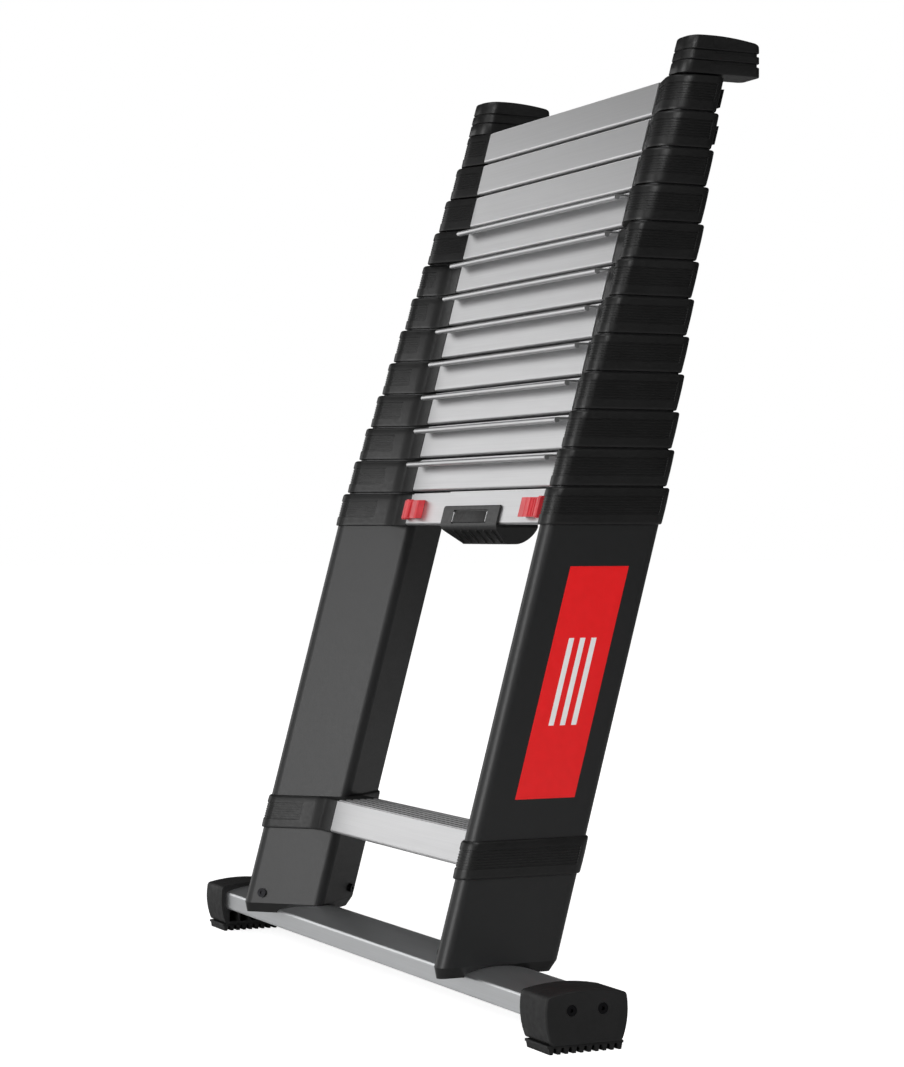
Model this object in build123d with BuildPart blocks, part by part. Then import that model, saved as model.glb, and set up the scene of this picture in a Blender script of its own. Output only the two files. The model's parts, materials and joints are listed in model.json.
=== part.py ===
"""Telescoping ladder, collapsed, leaning at its working angle on a stabiliser bar.

Every level section of the ladder is horizontal, and is swept along the leaning stiles. Across a
section, x runs from stile to stile and v runs from front to back, counted from the stile's axis.
Sections are numbered from the top: 1 is the innermost tube, 12 is the outermost, and 13 is the
fixed lower rung, which sits part of the way up tube 12.
"""

import os
from math import acos, asin, atan2, cos, degrees, hypot, pi, radians, remainder, sin, tan

from build123d import *

os.makedirs("parts", exist_ok=True)

# ---- stance -----------------------------------------------------------------
LEAN = radians(15)
LEAN_DIR = (0, sin(LEAN), cos(LEAN))
RUNG_SPACING = 300.0  # along the stile, ladder extended
SLIDING_SECTIONS = 11
BASE = 12  # number of the outermost tube
LOWER = 13  # number of the fixed lower rung

# ---- stile tubes: triangles with rounded corners, apex towards the rungs -----
STILE_OUT = 227.0  # outer face of the outermost tube from the middle plane
STILE_DEPTH = 110.0
STILE_WIDTH = 60.0
CORNER_R = 9.0
FACE_STEP = 1.25  # each tube's faces lie this far inside the next one's
CORNER_STEP = 0.08  # and its corner radius is this much smaller
TUBE_WALL = 0.95
TUBE_LENGTH = 380.0  # of a sliding tube, along the stile
TUBE_END_Z = 45.5  # lower end of the outermost tube

# ---- collars ----------------------------------------------------------------
COLLAR_H = 30.9
COLLAR_GAP = 1.25
COLLAR_WALL = 2.6
COLLAR_RIM = 3.0  # the rim that covers the tube's end
COLLAR_PITCH = COLLAR_H + COLLAR_GAP
BASE_COLLAR_TOP = 437.2
NOSE_R = 2.6
HOLLOW_SHARE = 0.9  # of a slanting face that the hollow may take
NOSE_BLEND_LEAST = 1.0
NOSE_BLEND = 20.0  # hollow between a collar's slanting faces and its nose, at most
COLLAR_TOP_ROUND = 2.2
COLLAR_FOOT_ROUND = 1.2

# ---- rungs ------------------------------------------------------------------
RUNG_FRONT = -17.8
RUNG_BACK = 24.0
RUNG_END = 143.5  # of the base rung, from the middle plane
RUNG_END_STEP = 2.19  # each rung further up is this much longer at each end
RUNG_WALL = 1.6
RUNG_FOOT_ROUND = 2.4
TREAD_RIB = 0.9
TREAD_RIBS = 6
TREAD_DROP = 0.4  # tread below the collar's rim
LIP_SECTIONS = range(4, 12)
LIP_REACH = 11.2
LIP_WEB = 1.8
LIP_BEAD_R = 2.45
LIP_DROP = 3.0

# ---- release catches ----------------------------------------------------------
CATCH_INSET = 15.0  # outer side of a catch in from the collar's outer face
CATCH_WIDTH = 12.0
CATCH_HEIGHT = 16.0
CATCH_STANDS = 6.5  # proud of the collar's back
CATCH_SUNK = 2.2
CATCH_TRAVEL = 3.0
CATCH_LUG = 2.6
CATCH_SKIN = 1.6
FIT_GAP = 0.3

# ---- unlocking buttons and lock pins ------------------------------------------
BUTTON_IN = 109.5  # inner end of a button from the middle plane
BUTTON_LENGTH = 33.0
BUTTON_H = 17.0
BUTTON_PROUD = 8.0
BUTTON_TRAVEL = 8.0
BUTTON_STEM = 10.0
BUTTON_FLAT = 11.0  # flat inner part of its front, before the scoop
SCOOP_LEFT = 2.6  # thickness left under the scoop
FLANGE_WIDTH = 5.0
FLANGE_DROP = 1.0
FLANGE_RISE = 1.0
BUTTON_ROUND = 1.6
PIN_R = 4.0
PIN_INNER = 119.0
PIN_EYE_WALL = 2.0
PIN_CHAMFER = 0.6

# ---- carrying grip ------------------------------------------------------------
GRIP_HALF = 59.0
GRIP_PLATE = 2.2
GRIP_TOP = 424.2
GRIP_BOTTOM = 389.0
GRIP_SHOULDER = 15.0  # the plate's lower end above the grip's bottom
GRIP_FLAT = (2.0, 12.0)  # level part of its bottom
GRIP_BACK = 22.0
GRIP_END_TAPER = 15.0  # how far its ends draw in below the plate
GRIP_CORNER = 3.0
GRIP_EDGE = 1.2
GRIP_KNEE = 8.0
BADGE_LENGTH = 72.0
BADGE_H = 13.0
BADGE_DEPTH = 1.2
BADGE_R = 1.5

# ---- wall caps ----------------------------------------------------------------
CAP_GAP = 1.0
CAP_LAYERS = (12.0, 9.0, 8.0)  # heights from the bottom up, before the crown
CAP_GROOVE = 1.3
CAP_GROOVE_DEPTH = 1.8
CAP_CROWN = 4.5
CAP_FRONT_DROP = 1.0
CAP_BEHIND = 52.0  # rear face behind the axis at the cap's middle
CAP_REAR_R = 6.0
CAP_REAR_IN = 33.0

# ---- stabiliser bar and feet ---------------------------------------------------
BAR_HALF = 374.0
BAR_DEPTH = 61.0
BAR_Z = 22.2
BAR_EDGE_H = 17.0
BAR_CROWN = 5.4
BAR_WALL = 2.2
BAR_R = 3.0
BAR_CENTRE = 11.3  # middle of the bar behind the foot of the axis
BAR_GROOVES = (14.0, 17.5)  # from the bar's middle
BAR_GROOVE_WIDTH = 1.2
BAR_GROOVE_DEPTH = 1.6
FOOT_OUT = 381.0
FOOT_LENGTH = 45.0
FOOT_DEPTH = 71.4
FOOT_BASE_Z = 7.0
FOOT_SHOULDER_Z = 44.5
FOOT_CROWN = 4.0
FOOT_TUCK = 5.0  # how far the sides draw in to the sole
FOOT_ROUND = 4.0
FOOT_EDGE = 1.5
FOOT_WALL = 2.5
FOOT_CELLS = 5
SOLE_INSET = 3.0
SOLE_TEETH = 10
SOLE_PITCH = 6.6
SOLE_TOOTH_TIP = 2.6
SOLE_TOOTH_ROOT = 4.6
SOLE_TOOTH_H = 5.0

# ---- screws --------------------------------------------------------------------
SCREW_R = 2.5
SCREW_HEAD_R = 4.2
SCREW_HEAD_H = 2.8
SCREW_LENGTH = 16.0
SCREW_SOCKET_R = 1.7
FOOT_SCREW_OFFSET = 13.6
FOOT_SCREW_Z = 33.3
PLUG_SCREW_Z = 55.0
PLUG_SCREW_ALONG = 9.0  # from the tube's corner towards its apex
PLUG_BOTTOM_Z = 36.5
PLUG_TOP_Z = 76.0
PLUG_CHAMFER = 4.0

# The origin is on the floor, under the middle of the ladder's own depth.
CAP_BOTTOM_Z = BASE_COLLAR_TOP + SLIDING_SECTIONS * COLLAR_PITCH + CAP_GAP
CAP_TOP_Z = CAP_BOTTOM_Z + sum(CAP_LAYERS)
CAP_REACH = (CAP_BOTTOM_Z + CAP_TOP_Z) / 2 * tan(LEAN) + CAP_BEHIND
PLUG_REACH = TUBE_END_Z * tan(LEAN) - STILE_DEPTH / 2
AXIS_FOOT = -(CAP_REACH + PLUG_REACH) / 2


FROM_BASE = (Align.CENTER, Align.CENTER, Align.MIN)


def axis_y(z):
    """Where the stiles' axis is, at a height."""
    return AXIS_FOOT + z * tan(LEAN)


def level(z):
    """Horizontal sketch plane on the stiles' axis, in (x, v)."""
    return Plane((0, axis_y(z), z))


def lean_extrude(height):
    """Sweep the pending level sketch up the stiles by a vertical height."""
    return extrude(amount=height / cos(LEAN), dir=LEAN_DIR)


def save(part, name):
    part.label = name
    export_step(part, f"parts/{name}.step")


def belt(discs):
    """Face inside a belt round discs (x, v, radius), anticlockwise; a negative disc lies outside."""
    tangents = []
    for (x0, v0, r0), (x1, v1, r1) in zip(discs, discs[1:] + discs[:1]):
        span = hypot(x1 - x0, v1 - v0)
        normal = atan2(v1 - v0, x1 - x0) - acos((r0 - r1) / span)
        start = (x0 + r0 * cos(normal), v0 + r0 * sin(normal))
        end = (x1 + r1 * cos(normal), v1 + r1 * sin(normal))
        tangents.append((start, end, normal))
    with BuildSketch(mode=Mode.PRIVATE) as face:
        with BuildLine():
            for i, (x, v, r) in enumerate(discs):
                _, arrive, before = tangents[i - 1]
                leave, go, after = tangents[i]
                turn = remainder(after - before, 2 * pi)
                middle = before + turn / 2
                ThreePointArc(arrive, (x + r * cos(middle), v + r * sin(middle)), leave)
                Line(leave, go)
        make_face()
    return face.sketch


def stile_discs(step, grow=0.0):
    """Corner discs of the right-hand tube that is `step` tubes in from the outermost one."""
    corner_x = STILE_OUT - CORNER_R
    corner_v = STILE_DEPTH / 2 - CORNER_R
    apex_x = STILE_OUT - STILE_WIDTH + CORNER_R
    corner_angle = atan2(corner_x - apex_x, corner_v)
    inset = (FACE_STEP - CORNER_STEP) * step
    corner_x -= inset
    corner_v -= inset / tan(corner_angle / 2)
    apex_x += inset / cos(corner_angle)
    radius = CORNER_R - CORNER_STEP * step + grow
    return [(corner_x, -corner_v, radius), (corner_x, corner_v, radius), (apex_x, 0, radius)]


def rung_end(step):
    """Where a rung meets its collar's nose, from the middle plane."""
    return RUNG_END + RUNG_END_STEP * step


def nose_hollow(corner, apex, nose_v):
    """Disc that hollows a collar between a slanting face and the nose, if the face passes the nose."""
    corner_x, corner_v, radius = corner
    run = hypot(corner_x - apex[0], corner_v - apex[1])
    normal_x = -abs(corner_v - apex[1]) / run
    normal_v = (corner_x - apex[0]) / run
    face = (abs(corner_v) + radius * normal_v - abs(nose_v)) / -normal_x
    hollow = min(NOSE_BLEND, HOLLOW_SHARE * face / tan(acos(normal_v) / 2))
    if hollow < NOSE_BLEND_LEAST:
        return []
    away = abs(nose_v) + hollow
    x = corner_x + (radius + hollow - normal_v * (away - abs(corner_v))) / normal_x
    return [(x, away if nose_v > 0 else -away, -hollow)]


def collar_discs(step):
    """Discs of a right-hand collar: the tube's outer corners, the nose, and the hollows between."""
    front, back, apex = stile_discs(step, COLLAR_WALL)
    nose_x = rung_end(step) + NOSE_R
    nose = [(nose_x, RUNG_BACK - NOSE_R, NOSE_R), (nose_x, RUNG_FRONT + NOSE_R, NOSE_R)]
    back_hollow = nose_hollow(back, apex, RUNG_BACK)
    front_hollow = nose_hollow(front, apex, RUNG_FRONT)
    return [front, back] + back_hollow + nose + front_hollow


def collar_top(number):
    """Height of a collar's rim, the ladder collapsed."""
    if number == LOWER:
        return BASE_COLLAR_TOP - RUNG_SPACING * cos(LEAN)
    return BASE_COLLAR_TOP + (BASE - number) * COLLAR_PITCH


def stile_tubes(number):
    """The two tubes of one section, open at both ends."""
    step = BASE - number
    top = collar_top(number) - COLLAR_RIM
    bottom = TUBE_END_Z if number == BASE else top - TUBE_LENGTH * cos(LEAN)
    with BuildPart() as tubes:
        with BuildSketch(level(bottom)):
            add(belt(stile_discs(step)))
            add(belt(stile_discs(step, -TUBE_WALL)), mode=Mode.SUBTRACT)
        lean_extrude(top - bottom)
        if number == BASE:
            bore_for_pin(STILE_OUT - STILE_WIDTH - NOSE_R, STILE_OUT - STILE_WIDTH + CORNER_R)
            for plane in plug_screw_planes():
                with Locations(plane):
                    Cylinder(SCREW_R, SCREW_LENGTH, mode=Mode.SUBTRACT)
        mirror(about=Plane.YZ)
    save(tubes.part, f"stile_tubes_{number:02d}")


def bore_for_pin(start, end):
    """Cut the lock pin's way through the open part, between two distances from the middle plane."""
    with Locations(pin_plane(start)):
        Cylinder(PIN_R + FIT_GAP, end - start, align=FROM_BASE, mode=Mode.SUBTRACT)


def pin_plane(x):
    """Plane across the right-hand lock pin, facing outwards."""
    height = BASE_COLLAR_TOP - COLLAR_H / 2
    return Plane((x, axis_y(height), height), x_dir=(0, 1, 0), z_dir=(1, 0, 0))


def catch_place(step):
    """Middle of a catch on a collar's back face, and that face's angle, in (x, v)."""
    (corner_x, corner_v, corner_r), (next_x, next_v, next_r) = collar_discs(step)[1:3]
    run = hypot(corner_x - next_x, corner_v - next_v)
    slope = atan2(corner_v - next_v, corner_x - next_x) + asin((corner_r - next_r) / run)
    x = corner_x + corner_r - CATCH_INSET - CATCH_WIDTH / 2 * cos(slope)
    touch_x = corner_x - corner_r * sin(slope)
    touch_v = corner_v + corner_r * cos(slope)
    return (x, touch_v - (touch_x - x) * tan(slope)), slope


def catch_block(step, width, inner, outer, shift=0.0):
    """Plan of a block on a collar's back face, from `inner` inside it to `outer` outside it."""
    (x, v), slope = catch_place(step)
    out = (outer - inner) / 2
    with Locations((x + shift * cos(slope) - out * sin(slope), v + shift * sin(slope) + out * cos(slope))):
        Rectangle(width, outer + inner, rotation=degrees(slope))


def collars(number):
    """The two collars of one section, each over the top of its tube."""
    step = max(BASE - number, 0)
    top = collar_top(number)
    bottom = top - COLLAR_H
    with BuildPart() as pair:
        with BuildSketch(level(bottom)):
            add(belt(collar_discs(step)))
        lean_extrude(COLLAR_H)
        fillet(pair.edges().group_by(Axis.Z)[-1], COLLAR_TOP_ROUND)
        fillet(pair.edges().group_by(Axis.Z)[0], COLLAR_FOOT_ROUND)
        socket_top = top if number == LOWER else top - COLLAR_RIM
        with BuildSketch(level(bottom)):
            add(belt(stile_discs(step)))
        extrude(amount=(socket_top - bottom) / cos(LEAN), dir=LEAN_DIR, mode=Mode.SUBTRACT)
        if number != LOWER:
            with BuildSketch(level(socket_top)):
                add(belt(stile_discs(step, -TUBE_WALL)))
            extrude(amount=COLLAR_RIM / cos(LEAN), dir=LEAN_DIR, mode=Mode.SUBTRACT)
        if number < BASE:
            with BuildSketch(level(catch_bottom(number) - CATCH_TRAVEL - FIT_GAP)):
                catch_block(step, CATCH_WIDTH + 2 * FIT_GAP, CATCH_SUNK + FIT_GAP, CATCH_STANDS)
            way = CATCH_HEIGHT + CATCH_TRAVEL + 2 * FIT_GAP
            extrude(amount=way / cos(LEAN), dir=LEAN_DIR, mode=Mode.SUBTRACT)
        if number == BASE:
            bore_for_pin(RUNG_END - NOSE_R, STILE_OUT - STILE_WIDTH + CORNER_R)
        mirror(about=Plane.YZ)
    save(pair.part, f"collars_{number:02d}")


def catch_bottom(number):
    """Lower end of a release catch: its travel and half its height below the collar's middle."""
    return collar_top(number) - (COLLAR_H + CATCH_HEIGHT + CATCH_TRAVEL) / 2


def release_catches(number):
    """The pair of sprung catches on the backs of one section's collars, hooked top and bottom."""
    step = BASE - number
    bottom = catch_bottom(number)
    with BuildPart() as catches:
        with BuildSketch(level(bottom)):
            catch_block(step, CATCH_WIDTH, CATCH_SUNK, CATCH_STANDS)
        lean_extrude(CATCH_HEIGHT)
        with BuildSketch(level(bottom + CATCH_LUG)):
            catch_block(step, CATCH_WIDTH, 0, CATCH_STANDS - CATCH_SKIN, CATCH_SKIN)
        window = CATCH_HEIGHT - 2 * CATCH_LUG
        extrude(amount=window / cos(LEAN), dir=LEAN_DIR, mode=Mode.SUBTRACT)
        mirror(about=Plane.YZ)
    save(catches.part, f"release_catches_{number:02d}")


def rung_outline(bottom, top, inset=0.0):
    """Corners (y, z) of a rung's section: level top and bottom, front and back along the stile."""
    low = bottom + inset
    high = top - inset
    front = RUNG_FRONT + inset
    back = RUNG_BACK - inset
    return [
        (axis_y(low) + front, low),
        (axis_y(low) + back, low),
        (axis_y(high) + back, high),
        (axis_y(high) + front, high),
    ]


def rung(number):
    """One hollow rung with a ribbed tread, butted between the collars' noses."""
    half = rung_end(max(BASE - number, 0))
    bottom = collar_top(number) - COLLAR_H + FIT_GAP
    top = collar_top(number) - TREAD_DROP
    with BuildPart() as bar:
        with BuildSketch(Plane.YZ) as section:
            with BuildLine():
                Polyline(*rung_outline(bottom, top - TREAD_RIB), close=True)
            make_face()
            fillet(section.vertices().group_by(Axis.Y)[0], RUNG_FOOT_ROUND)
            spread = (RUNG_BACK - RUNG_FRONT) / TREAD_RIBS
            middle = axis_y(top) + (RUNG_FRONT + RUNG_BACK) / 2
            with Locations((middle, top - TREAD_RIB)):
                with GridLocations(spread, 0, TREAD_RIBS, 1):
                    Rectangle(spread / 2, 2 * TREAD_RIB)
            if number in LIP_SECTIONS:
                lip_z = top - LIP_DROP
                nose_y = axis_y(lip_z) + RUNG_FRONT - LIP_REACH
                with Locations((nose_y + LIP_REACH / 2 + RUNG_WALL / 2, lip_z)):
                    Rectangle(LIP_REACH + RUNG_WALL, LIP_WEB)
                with Locations((nose_y, lip_z - LIP_BEAD_R + LIP_WEB / 2)):
                    Circle(LIP_BEAD_R)
            with BuildLine():
                Polyline(*rung_outline(bottom, top - TREAD_RIB, RUNG_WALL), close=True)
            make_face(mode=Mode.SUBTRACT)
        extrude(amount=half, both=True)
        if number == BASE:
            window_in = BUTTON_IN + (BUTTON_LENGTH - BUTTON_STEM) / 2 - BUTTON_TRAVEL - FIT_GAP
            window = BUTTON_STEM + BUTTON_TRAVEL + 2 * FIT_GAP
            with BuildSketch(pin_plane(window_in)):
                with Locations(((RUNG_FRONT - BUTTON_PROUD) / 2, 0)):
                    Rectangle(-RUNG_FRONT + BUTTON_PROUD, 2 * (PIN_R + PIN_EYE_WALL + FIT_GAP))
            cut = extrude(amount=window, mode=Mode.SUBTRACT)
            mirror(cut, about=Plane.YZ, mode=Mode.SUBTRACT)
    save(bar.part, f"rung_{number:02d}")


def unlocking_button(side, name):
    """Red thumb button: a block, a scoop and a flange, on a stem that carries the lock pin."""
    height = BASE_COLLAR_TOP - COLLAR_H / 2
    back = RUNG_FRONT - FIT_GAP
    front = RUNG_FRONT - BUTTON_PROUD
    flat = BUTTON_IN + BUTTON_FLAT
    end = BUTTON_IN + BUTTON_LENGTH
    flange = end - FLANGE_WIDTH
    flange_front = front + FLANGE_DROP
    eye = PIN_R + PIN_EYE_WALL
    with BuildPart() as button:
        with BuildSketch(level(height - BUTTON_H / 2)) as pad:
            with BuildLine():
                Polyline((flat, front), (BUTTON_IN, front), (BUTTON_IN, back), (end, back),
                         (end, flange_front), (flange, flange_front))
                ThreePointArc(
                    (flange, flange_front),
                    ((flat + flange) / 2, back - SCOOP_LEFT),
                    (flat, front),
                )
            make_face()
            fillet(pad.vertices().sort_by(Axis.Y)[:4], BUTTON_ROUND)
        lean_extrude(BUTTON_H)
        with BuildSketch(level(height - BUTTON_H / 2 - FLANGE_RISE)):
            with Locations((end - FLANGE_WIDTH / 2, (flange_front + BUTTON_ROUND + back) / 2)):
                Rectangle(FLANGE_WIDTH, back - flange_front - BUTTON_ROUND)
        lean_extrude(BUTTON_H + 2 * FLANGE_RISE)
        with BuildSketch(pin_plane(BUTTON_IN + (BUTTON_LENGTH - BUTTON_STEM) / 2)):
            with Locations(((back + eye) / 2, 0)):
                Rectangle(eye - back, 2 * eye)
            Circle(PIN_R, mode=Mode.SUBTRACT)
        extrude(amount=BUTTON_STEM)
        if side < 0:
            mirror(about=Plane.YZ, mode=Mode.REPLACE)
    save(button.part, f"release_button_{name}")


def lock_pin(side, name):
    """Steel pin from the button's stem, through the nose, to the inside of the base tube."""
    tip = STILE_OUT - STILE_WIDTH + TUBE_WALL / 2
    with BuildPart() as pin:
        with BuildSketch(pin_plane(PIN_INNER)):
            Circle(PIN_R)
        extrude(amount=tip - PIN_INNER)
        chamfer(pin.edges().filter_by(GeomType.CIRCLE), PIN_CHAMFER)
        if side < 0:
            mirror(about=Plane.YZ, mode=Mode.REPLACE)
    save(pin.part, f"lock_pin_{name}")


def carry_grip():
    """Grip under the base rung: a plate up its front, and a rounded hand hold below it."""
    bottom = collar_top(BASE) - COLLAR_H + FIT_GAP
    with BuildPart() as grip:
        with BuildSketch(Plane.YZ) as profile:
            plate_v = RUNG_FRONT - GRIP_PLATE
            front_low = GRIP_BOTTOM + GRIP_SHOULDER
            with BuildLine():
                Polyline(
                    (axis_y(bottom) + GRIP_BACK, bottom),
                    (axis_y(bottom) + RUNG_FRONT, bottom),
                    (axis_y(GRIP_TOP) + RUNG_FRONT, GRIP_TOP),
                    (axis_y(GRIP_TOP) + plate_v, GRIP_TOP),
                    (axis_y(front_low) + plate_v, front_low),
                    (axis_y(GRIP_BOTTOM) + GRIP_FLAT[0], GRIP_BOTTOM),
                    (axis_y(GRIP_BOTTOM) + GRIP_FLAT[1], GRIP_BOTTOM),
                )
                TangentArc(
                    (axis_y(GRIP_BOTTOM) + GRIP_FLAT[1], GRIP_BOTTOM),
                    (axis_y(bottom) + GRIP_BACK, bottom),
                    tangent=(1, 0),
                )
            make_face()
            fillet(profile.vertices().group_by(Axis.Y)[-1].sort_by(Axis.X)[:1], GRIP_EDGE)
            fillet(profile.vertices().sort_by(Axis.X)[:1], GRIP_KNEE)
        extrude(amount=GRIP_HALF, both=True)
        with BuildSketch(Plane.XZ) as outline:
            with BuildLine():
                Polyline(
                    (GRIP_HALF, GRIP_TOP),
                    (GRIP_HALF, front_low),
                    (GRIP_HALF - GRIP_END_TAPER, GRIP_BOTTOM),
                    (GRIP_END_TAPER - GRIP_HALF, GRIP_BOTTOM),
                    (-GRIP_HALF, front_low),
                    (-GRIP_HALF, GRIP_TOP),
                    close=True,
                )
            make_face()
            fillet(outline.vertices().group_by(Axis.Y)[-1], GRIP_CORNER)
        extrude(amount=STILE_DEPTH, both=True, mode=Mode.INTERSECT)
        badge_z = (GRIP_TOP + front_low) / 2
        face = Plane(
            (0, axis_y(badge_z) + plate_v, badge_z),
            x_dir=(1, 0, 0),
            z_dir=(0, -cos(LEAN), sin(LEAN)),
        )
        with BuildSketch(face):
            RectangleRounded(BADGE_LENGTH, BADGE_H, BADGE_R)
        extrude(amount=-BADGE_DEPTH, mode=Mode.SUBTRACT)
    save(grip.part, "carry_grip")


def bar_face(inset=0.0):
    """Section (y, z) of the stabiliser bar: flat bottom and edges, arched top."""
    half = BAR_DEPTH / 2 - inset
    low = BAR_Z + inset
    edge = BAR_Z + BAR_EDGE_H - inset
    centre = AXIS_FOOT + BAR_CENTRE
    with BuildSketch(mode=Mode.PRIVATE) as section:
        with BuildLine():
            Polyline((centre - half, edge), (centre - half, low), (centre + half, low), (centre + half, edge))
            ThreePointArc((centre + half, edge), (centre, edge + BAR_CROWN), (centre - half, edge))
        make_face()
        fillet(section.vertices(), BAR_R - min(inset, BAR_R / 2))
    return section.sketch


def screw_ports():
    """Centres (y, z) of the two screw ports in the bar's section."""
    centre = AXIS_FOOT + BAR_CENTRE
    return [(centre - FOOT_SCREW_OFFSET, FOOT_SCREW_Z), (centre + FOOT_SCREW_OFFSET, FOOT_SCREW_Z)]


def stabiliser_bar():
    """Hollow arched extrusion with two webs, each with a screw port along it."""
    port_wall = SCREW_R + BAR_WALL
    with BuildPart() as bar:
        with BuildSketch(Plane.YZ):
            add(bar_face())
            add(bar_face(BAR_WALL), mode=Mode.SUBTRACT)
            for y, z in screw_ports():
                with Locations((y, z)):
                    Circle(port_wall)
                web_top = BAR_Z + BAR_EDGE_H + BAR_CROWN / 2
                with Locations((y, (BAR_Z + web_top) / 2)):
                    Rectangle(BAR_WALL, web_top - BAR_Z)
            with Locations(*screw_ports()):
                Circle(SCREW_R, mode=Mode.SUBTRACT)
            centre = AXIS_FOOT + BAR_CENTRE
            with Locations(*[(centre + v, BAR_Z + BAR_EDGE_H + BAR_CROWN) for v in BAR_GROOVES]):
                Rectangle(BAR_GROOVE_WIDTH, 2 * BAR_GROOVE_DEPTH, mode=Mode.SUBTRACT)
        extrude(amount=BAR_HALF, both=True)
    save(bar.part, "stabiliser_bar")


def foot_face():
    """Section (y, z) of a foot above its sole: bulging sides and an arched top."""
    half = FOOT_DEPTH / 2
    centre = AXIS_FOOT + BAR_CENTRE
    waist = (FOOT_BASE_Z + FOOT_SHOULDER_Z) * 0.55
    with BuildSketch(mode=Mode.PRIVATE) as section:
        with BuildLine():
            Line((centre - half + FOOT_TUCK, FOOT_BASE_Z), (centre + half - FOOT_TUCK, FOOT_BASE_Z))
            for side in (-1, 1):
                ThreePointArc(
                    (centre + side * (half - FOOT_TUCK), FOOT_BASE_Z),
                    (centre + side * half, waist),
                    (centre + side * (half - FOOT_TUCK / 4), FOOT_SHOULDER_Z),
                )
            ThreePointArc(
                (centre - half + FOOT_TUCK / 4, FOOT_SHOULDER_Z),
                (centre, FOOT_SHOULDER_Z + FOOT_CROWN),
                (centre + half - FOOT_TUCK / 4, FOOT_SHOULDER_Z),
            )
        make_face()
        fillet(section.vertices(), FOOT_ROUND)
    return section.sketch


def stabiliser_feet():
    """Two rubber feet: a hollow cap over the bar's end, on a toothed sole."""
    centre = AXIS_FOOT + BAR_CENTRE
    inner = FOOT_OUT - FOOT_LENGTH
    with BuildPart() as feet:
        with BuildSketch(Plane.YZ.offset(inner)):
            add(foot_face())
        extrude(amount=FOOT_LENGTH)
        fillet(feet.faces().sort_by(Axis.X)[-1].edges(), FOOT_EDGE)
        with BuildSketch(Plane.YZ.offset(inner)):
            add(bar_face())
        extrude(amount=BAR_HALF - inner, mode=Mode.SUBTRACT)
        cell = (BAR_DEPTH - 2 * BAR_WALL) / FOOT_CELLS
        with BuildSketch(Plane.YZ.offset(inner)):
            with Locations((centre, (FOOT_BASE_Z + FOOT_WALL + BAR_Z - FOOT_WALL) / 2)):
                with GridLocations(cell, 0, FOOT_CELLS, 1):
                    Rectangle(cell - FOOT_WALL, BAR_Z - FOOT_BASE_Z - 2 * FOOT_WALL)
        extrude(amount=FOOT_LENGTH - 2 * FOOT_WALL, mode=Mode.SUBTRACT)
        sole_length = FOOT_LENGTH - 2 * SOLE_INSET
        with BuildSketch(Plane.YZ.offset(inner + SOLE_INSET)):
            with Locations((centre, (SOLE_TOOTH_H + FOOT_BASE_Z) / 2)):
                Rectangle(SOLE_TEETH * SOLE_PITCH, FOOT_BASE_Z - SOLE_TOOTH_H)
        extrude(amount=sole_length)
        with BuildSketch(Plane.YZ.offset(inner + SOLE_INSET)):
            for tooth in range(SOLE_TEETH):
                y = centre + (tooth - (SOLE_TEETH - 1) / 2) * SOLE_PITCH
                with BuildLine():
                    Polyline(
                        (y - SOLE_TOOTH_ROOT / 2, SOLE_TOOTH_H),
                        (y - SOLE_TOOTH_TIP / 2, 0),
                        (y + SOLE_TOOTH_TIP / 2, 0),
                        (y + SOLE_TOOTH_ROOT / 2, SOLE_TOOTH_H),
                        close=True,
                    )
                make_face()
        extrude(amount=sole_length)
        with BuildSketch(Plane.YZ.offset(BAR_HALF)):
            with Locations(*screw_ports()):
                Circle(SCREW_R)
        extrude(amount=FOOT_LENGTH, mode=Mode.SUBTRACT)
        with BuildSketch(Plane.YZ.offset(FOOT_OUT - SCREW_HEAD_H - FIT_GAP)):
            with Locations(*screw_ports()):
                Circle(SCREW_HEAD_R + FIT_GAP)
        extrude(amount=FOOT_LENGTH, mode=Mode.SUBTRACT)
        mirror(about=Plane.YZ)
    save(feet.part, "stabiliser_feet")


def stile_foot_plugs():
    """Plugs in the base tubes' lower ends, saddled over the bar."""
    with BuildPart() as plugs:
        with BuildSketch(level(PLUG_BOTTOM_Z)):
            add(belt(stile_discs(0, -PLUG_CHAMFER)))
        with BuildSketch(level(TUBE_END_Z)):
            add(belt(stile_discs(0)))
        loft(ruled=True)
        with BuildSketch(level(TUBE_END_Z)):
            add(belt(stile_discs(0, -TUBE_WALL)))
        lean_extrude(PLUG_TOP_Z - TUBE_END_Z)
        with BuildSketch(Plane.YZ.offset(RUNG_END)):
            add(bar_face())
        extrude(amount=STILE_OUT - RUNG_END + COLLAR_WALL, mode=Mode.SUBTRACT)
        for plane in plug_screw_planes():
            with Locations(plane):
                Cylinder(SCREW_R, 2 * SCREW_LENGTH, mode=Mode.SUBTRACT)
        mirror(about=Plane.YZ)
    save(plugs.part, "stile_foot_plugs")


def plug_screw_planes():
    """Seats of the right-hand tube's two screws, facing out of its slanting faces."""
    corner_x, _, radius = stile_discs(0)[0]
    corner_v = STILE_DEPTH / 2 - CORNER_R
    apex_x = STILE_OUT - STILE_WIDTH + CORNER_R
    run = hypot(corner_x - apex_x, corner_v)
    across = ((apex_x - corner_x) / run, corner_v / run)
    planes = []
    for side in (-1, 1):
        along = Vector(across[0], -side * across[1], 0)
        facing = along.cross(Vector(*LEAN_DIR)).normalized()
        facing = facing * (1 if facing.Y * side > 0 else -1)
        x = corner_x + across[0] * PLUG_SCREW_ALONG - across[1] * radius
        v = side * (corner_v - across[1] * PLUG_SCREW_ALONG - across[0] * radius)
        planes.append(Plane((x, axis_y(PLUG_SCREW_Z) + v, PLUG_SCREW_Z), z_dir=facing))
    return planes


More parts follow.
